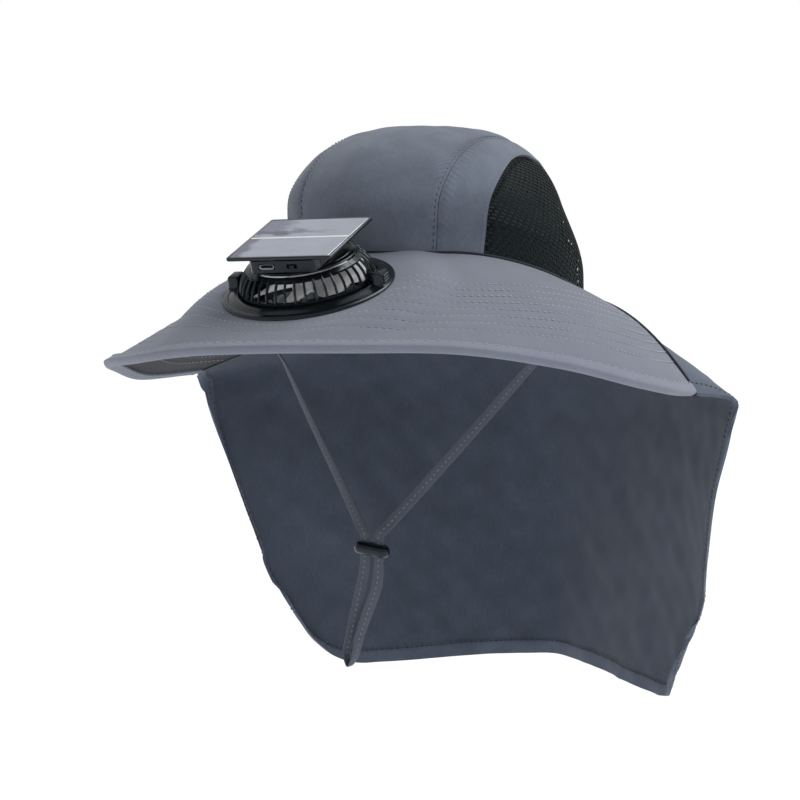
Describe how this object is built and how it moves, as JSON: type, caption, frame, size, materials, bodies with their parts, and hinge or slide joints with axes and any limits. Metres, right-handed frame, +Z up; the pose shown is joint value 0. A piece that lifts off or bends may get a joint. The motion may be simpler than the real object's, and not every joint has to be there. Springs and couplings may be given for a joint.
{
  "type": "solar fan hat",
  "caption": "Wide-brimmed sun hat with mesh sides, a hanging neck flap, a chin strap and a tilting solar-powered fan in the brim.",
  "frame": {"origin": "middle of the head opening, at the height of the seam between crown and brim at the forehead, where a head holds the hat", "axes": "+Z up, -Y the way the wearer looks, +X the wearer's left"},
  "size_m": [0.3563, 0.3966, 0.3428],
  "materials": {
    "grey_cloth": "matte woven",
    "brim_cloth": "matte woven, slightly lighter",
    "flap_cloth": "matte woven, dark",
    "black_net": "open net",
    "black_plastic": "satin to gloss",
    "grey_plastic": "satin",
    "solar_cells": "clear resin over dark cells",
    "bright_metal": "bright"
  },
  "bodies": {
    "hat": {"crown_center": "grey_cloth", "crown_side_right": "grey_cloth", "crown_side_left": "grey_cloth", "mesh_vent_right": "black_net", "mesh_vent_left": "black_net", "sweatband": "flap_cloth", "brim": "brim_cloth", "brim_binding": "brim_cloth", "neck_flap": "flap_cloth", "chin_strap": "grey_cloth", "cord_lock": "black_plastic", "fan_flange": "black_plastic", "fan_lock_ring": "black_plastic"},
    "fan_head": {"fan_cage": "black_plastic", "fan_intake": "black_plastic", "pivot_pin_right": "black_plastic", "pivot_pin_left": "black_plastic", "fan_cap": "black_plastic", "fan_motor": "black_plastic", "panel_housing": "black_plastic", "usb_port": "bright_metal", "solar_frame": "black_plastic", "solar_cells_front": "solar_cells", "solar_cells_back": "solar_cells", "solar_busbar": "bright_metal"},
    "rotor": {"fan_rotor": "grey_plastic"},
    "switch": {"power_switch": "black_plastic"}
  },
  "joints": [
    {"name": "head_tilt", "type": "hinge", "parent": "hat", "child": "fan_head", "pos_m": [0, -0.14766, -0.01296], "axis": [0.9945, 0.0988, 0.0342], "range_deg": [-32, 32]},
    {"name": "rotor_spin", "type": "hinge", "parent": "fan_head", "child": "rotor", "pos_m": [0, -0.14796, -0.0121], "axis": [0, -0.3274, 0.9449], "continuous": true},
    {"name": "switch_slide", "type": "slide", "parent": "fan_head", "child": "switch", "axis": [0.9945, 0.0988, 0.0342], "range_m": [-0.0013, 0.0013]}
  ]
}
